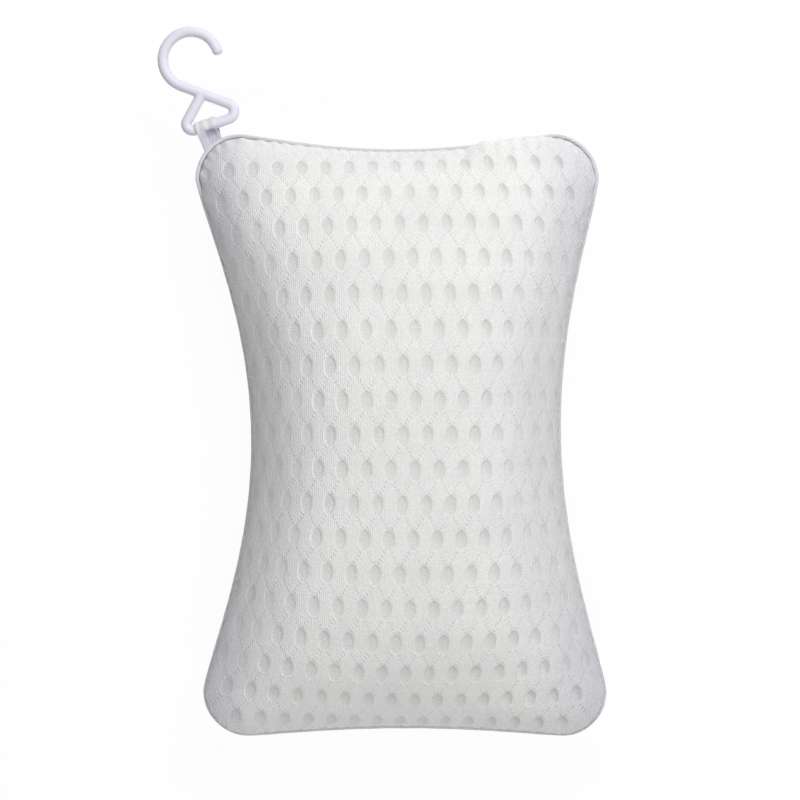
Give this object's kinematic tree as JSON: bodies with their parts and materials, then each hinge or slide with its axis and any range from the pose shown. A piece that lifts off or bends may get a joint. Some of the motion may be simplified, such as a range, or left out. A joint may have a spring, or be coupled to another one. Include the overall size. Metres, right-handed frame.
{
  "type": "bath pillow",
  "caption": "Hourglass bath pillow in thick spacer mesh with a fibre filling, suction cups on its back and a swinging hook on a corner strap loop.",
  "frame": {"origin": "on the floor plane of the suction cups' rims, under the middle of the box round the whole part", "axes": "+Z out of the pillow's front, +Y along its length towards the end with the hook, +X to the right of someone who looks at the front"},
  "size_m": [0.2692, 0.4254, 0.095],
  "materials": {
    "cover_mesh": "knitted spacer mesh, matt",
    "piping_cloth": "rolled cloth, matt",
    "fibre": "loose polyester fibre",
    "strap_cloth": "woven tape",
    "hook_plastic": "moulded, softly glossy",
    "clear_vinyl": "clear soft vinyl, glossy",
    "washer_plastic": "moulded, matt"
  },
  "bodies": {
    "pillow": {"front_panel": "cover_mesh", "back_panel": "cover_mesh", "edge_piping": "piping_cloth", "fibre_filling": "fibre", "cup_washer_1": "washer_plastic", "cup_washer_2": "washer_plastic", "cup_washer_3": "washer_plastic", "cup_washer_4": "washer_plastic", "cup_washer_5": "washer_plastic", "cup_washer_6": "washer_plastic"},
    "loop": {"hanging_loop": "strap_cloth"},
    "hook": {"hook": "hook_plastic"},
    "cup_1": {"suction_cup_1": "clear_vinyl"},
    "cup_2": {"suction_cup_2": "clear_vinyl"},
    "cup_3": {"suction_cup_3": "clear_vinyl"},
    "cup_4": {"suction_cup_4": "clear_vinyl"},
    "cup_5": {"suction_cup_5": "clear_vinyl"},
    "cup_6": {"suction_cup_6": "clear_vinyl"}
  },
  "joints": [
    {"name": "loop_flex", "type": "hinge", "parent": "pillow", "child": "loop", "pos_m": [-0.10232, 0.14523, 0.039], "axis": [0.95, 0.3123, 0], "range_deg": [-60, 60]},
    {"name": "hook_swing", "type": "hinge", "parent": "loop", "child": "hook", "pos_m": [-0.10488, 0.15302, 0.039], "axis": [0.95, 0.3123, 0], "range_deg": [-85, 85]},
    {"name": "cup_1_spin", "type": "hinge", "parent": "pillow", "child": "cup_1", "pos_m": [-0.05058, 0.07565, 0.039], "axis": [0, 0, 1], "continuous": true},
    {"name": "cup_2_spin", "type": "hinge", "parent": "pillow", "child": "cup_2", "pos_m": [0.07332, 0.07565, 0.039], "axis": [0, 0, 1], "continuous": true},
    {"name": "cup_3_spin", "type": "hinge", "parent": "pillow", "child": "cup_3", "pos_m": [-0.03463, -0.03233, 0.039], "axis": [0, 0, 1], "continuous": true},
    {"name": "cup_4_spin", "type": "hinge", "parent": "pillow", "child": "cup_4", "pos_m": [0.05737, -0.03233, 0.039], "axis": [0, 0, 1], "continuous": true},
    {"name": "cup_5_spin", "type": "hinge", "parent": "pillow", "child": "cup_5", "pos_m": [-0.05058, -0.14031, 0.039], "axis": [0, 0, 1], "continuous": true},
    {"name": "cup_6_spin", "type": "hinge", "parent": "pillow", "child": "cup_6", "pos_m": [0.07332, -0.14031, 0.039], "axis": [0, 0, 1], "continuous": true}
  ]
}
